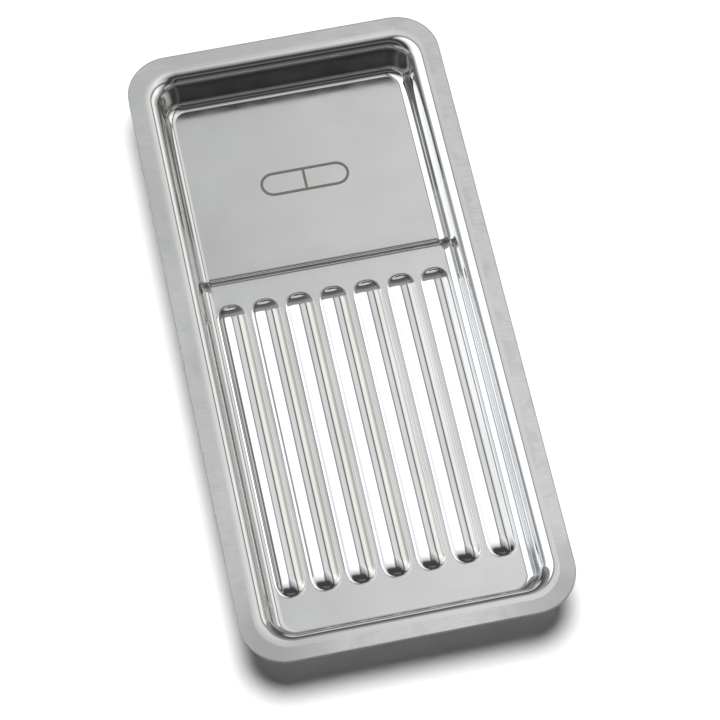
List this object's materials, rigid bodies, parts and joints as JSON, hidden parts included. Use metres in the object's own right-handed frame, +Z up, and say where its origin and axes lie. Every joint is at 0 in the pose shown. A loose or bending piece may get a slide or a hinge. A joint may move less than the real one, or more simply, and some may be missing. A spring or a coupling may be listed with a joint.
{
  "type": "instrument tray",
  "caption": "Shallow pressed steel tray with a flat rim, a plain pocket at one end and raised parallel ribs that keep slim tools apart at the other.",
  "frame": {"origin": "under the middle of the tray's outline, at the level of the pocket's underside, which is its lowest face", "axes": "+X across the tray to the right, +Y along it towards the plain pocket, +Z up out of the open side"},
  "size_m": [0.095, 0.2, 0.0132],
  "materials": {
    "pressed_steel": "polished well and ribs, satin rim",
    "etched_steel": "matt etched"
  },
  "bodies": {
    "root": {"tray_pan": "pressed_steel", "etched_mark": "etched_steel"}
  },
  "joints": []
}
